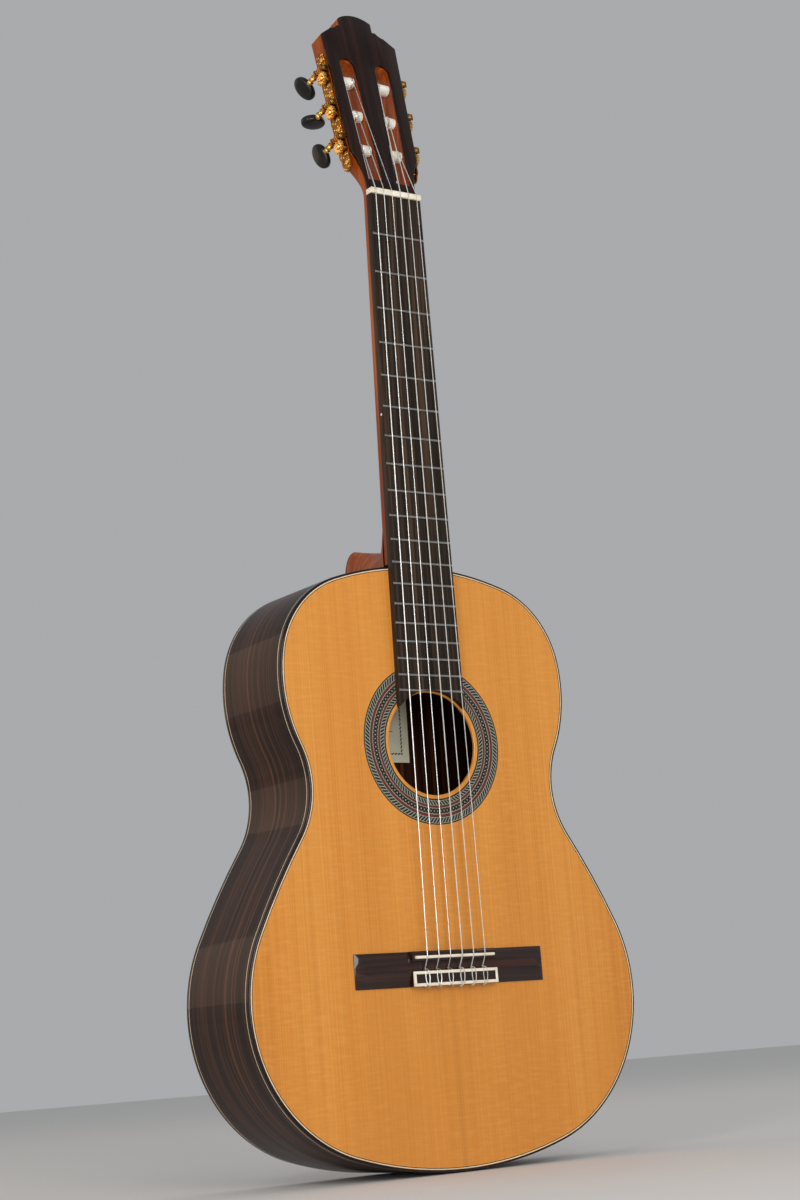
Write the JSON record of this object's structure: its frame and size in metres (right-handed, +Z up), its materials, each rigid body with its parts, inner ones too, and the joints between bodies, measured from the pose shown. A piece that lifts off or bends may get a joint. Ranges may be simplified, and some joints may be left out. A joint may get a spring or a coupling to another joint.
{
  "type": "classical guitar",
  "caption": "Nylon-strung classical guitar with a waisted hollow body, slotted tilted head, and worm-geared tuning machines that turn.",
  "frame": {"origin": "in the middle of the neck at the nut, between the arms of a wall hanger, on the line of the soundboard's face", "axes": "+Z up the neck towards the head, +X towards the treble strings, -Y out of the soundboard towards the player's hand"},
  "size_m": [0.3816, 0.1199, 1.0093],
  "materials": {
    "cedar_top": "french-polished honey cedar, high gloss",
    "rosewood": "dark striped rosewood, high gloss",
    "binding_rosewood": "dark rosewood edge strip, high gloss",
    "maple_line": "pale maple line",
    "lining_wood": "plain sanded wood",
    "brace_spruce": "plain sanded spruce",
    "neck_cedar": "red-brown cedar, gloss",
    "dark_veneer": "dark rosewood veneer, high gloss",
    "ebony": "oiled ebony",
    "bridge_rosewood": "polished rosewood",
    "rosette_mosaic": "inlaid mosaic of dyed woods, high gloss",
    "fret_silver": "polished nickel silver",
    "bone": "polished bone",
    "roller_bone": "ivory-coloured roller sleeve on a brass core",
    "gold_brass": "gold-plated, engraved",
    "button_ebony": "polished black wood",
    "wound_string": "silver-plated winding",
    "nylon_string": "clear nylon",
    "label_paper": "cream paper with a plain printed border"
  },
  "bodies": {
    "root": {"soundboard": "cedar_top", "back": "rosewood", "rib_bass": "rosewood", "rib_treble": "rosewood", "top_lining": "lining_wood", "back_lining": "lining_wood", "fan_braces": "brace_spruce", "harmonic_bars": "brace_spruce", "back_bars": "brace_spruce", "tail_block": "neck_cedar", "neck": "neck_cedar", "head": "neck_cedar", "heel_cap": "rosewood", "head_veneer": "dark_veneer", "fingerboard": "ebony", "frets": "fret_silver", "nut": "bone", "side_dot": "bone", "bridge": "bridge_rosewood", "tie_frame": "bone", "saddle": "bone", "rosette": "rosette_mosaic", "label": "label_paper", "top_binding": "binding_rosewood", "top_purfling": "maple_line", "back_binding": "binding_rosewood", "back_purfling": "maple_line", "tuner_plate_bass": "gold_brass", "tuner_plate_treble": "gold_brass", "plate_screws": "gold_brass", "string_1": "wound_string", "string_2": "wound_string", "string_3": "wound_string", "string_4": "nylon_string", "string_5": "nylon_string", "string_6": "nylon_string"},
    "knob_1": {"worm_1": "gold_brass", "button_1": "button_ebony"},
    "peg_1": {"roller_1": "roller_bone", "gear_1": "gold_brass"},
    "knob_2": {"worm_2": "gold_brass", "button_2": "button_ebony"},
    "peg_2": {"roller_2": "roller_bone", "gear_2": "gold_brass"},
    "knob_3": {"worm_3": "gold_brass", "button_3": "button_ebony"},
    "peg_3": {"roller_3": "roller_bone", "gear_3": "gold_brass"},
    "knob_4": {"worm_4": "gold_brass", "button_4": "button_ebony"},
    "peg_4": {"roller_4": "roller_bone", "gear_4": "gold_brass"},
    "knob_5": {"worm_5": "gold_brass", "button_5": "button_ebony"},
    "peg_5": {"roller_5": "roller_bone", "gear_5": "gold_brass"},
    "knob_6": {"worm_6": "gold_brass", "button_6": "button_ebony"},
    "peg_6": {"roller_6": "roller_bone", "gear_6": "gold_brass"}
  },
  "joints": [
    {"name": "knob_1_turn", "type": "hinge", "parent": "root", "child": "knob_1", "pos_m": [-0.04009, 0.01328, 0.05615], "axis": [0, 0.9781, -0.2079], "continuous": true},
    {"name": "peg_1_turn", "type": "hinge", "parent": "root", "child": "peg_1", "pos_m": [-0.0352, 0.01157, 0.0481], "axis": [0.9994, 0.0073, 0.0341], "continuous": true},
    {"name": "knob_2_turn", "type": "hinge", "parent": "root", "child": "knob_2", "pos_m": [-0.04133, 0.02065, 0.09085], "axis": [0, 0.9781, -0.2079], "continuous": true},
    {"name": "peg_2_turn", "type": "hinge", "parent": "root", "child": "peg_2", "pos_m": [-0.03644, 0.01894, 0.08281], "axis": [0.9994, 0.0073, 0.0341], "continuous": true},
    {"name": "knob_3_turn", "type": "hinge", "parent": "root", "child": "knob_3", "pos_m": [-0.04257, 0.02803, 0.12556], "axis": [0, 0.9781, -0.2079], "continuous": true},
    {"name": "peg_3_turn", "type": "hinge", "parent": "root", "child": "peg_3", "pos_m": [-0.03768, 0.02632, 0.11751], "axis": [0.9994, 0.0073, 0.0341], "continuous": true},
    {"name": "knob_4_turn", "type": "hinge", "parent": "root", "child": "knob_4", "pos_m": [0.04257, 0.02803, 0.12556], "axis": [0, 0.9781, -0.2079], "continuous": true},
    {"name": "peg_4_turn", "type": "hinge", "parent": "root", "child": "peg_4", "pos_m": [0.03768, 0.02632, 0.11751], "axis": [0.9994, -0.0073, -0.0341], "continuous": true},
    {"name": "knob_5_turn", "type": "hinge", "parent": "root", "child": "knob_5", "pos_m": [0.04133, 0.02065, 0.09085], "axis": [0, 0.9781, -0.2079], "continuous": true},
    {"name": "peg_5_turn", "type": "hinge", "parent": "root", "child": "peg_5", "pos_m": [0.03644, 0.01894, 0.08281], "axis": [0.9994, -0.0073, -0.0341], "continuous": true},
    {"name": "knob_6_turn", "type": "hinge", "parent": "root", "child": "knob_6", "pos_m": [0.04009, 0.01328, 0.05615], "axis": [0, 0.9781, -0.2079], "continuous": true},
    {"name": "peg_6_turn", "type": "hinge", "parent": "root", "child": "peg_6", "pos_m": [0.0352, 0.01157, 0.0481], "axis": [0.9994, -0.0073, -0.0341], "continuous": true}
  ],
  "couplings": [
    {"joint": "peg_1_turn", "follows": "knob_1_turn", "ratio": 0.071429},
    {"joint": "peg_2_turn", "follows": "knob_2_turn", "ratio": 0.071429},
    {"joint": "peg_3_turn", "follows": "knob_3_turn", "ratio": 0.071429},
    {"joint": "peg_4_turn", "follows": "knob_4_turn", "ratio": 0.071429},
    {"joint": "peg_5_turn", "follows": "knob_5_turn", "ratio": 0.071429},
    {"joint": "peg_6_turn", "follows": "knob_6_turn", "ratio": 0.071429}
  ]
}
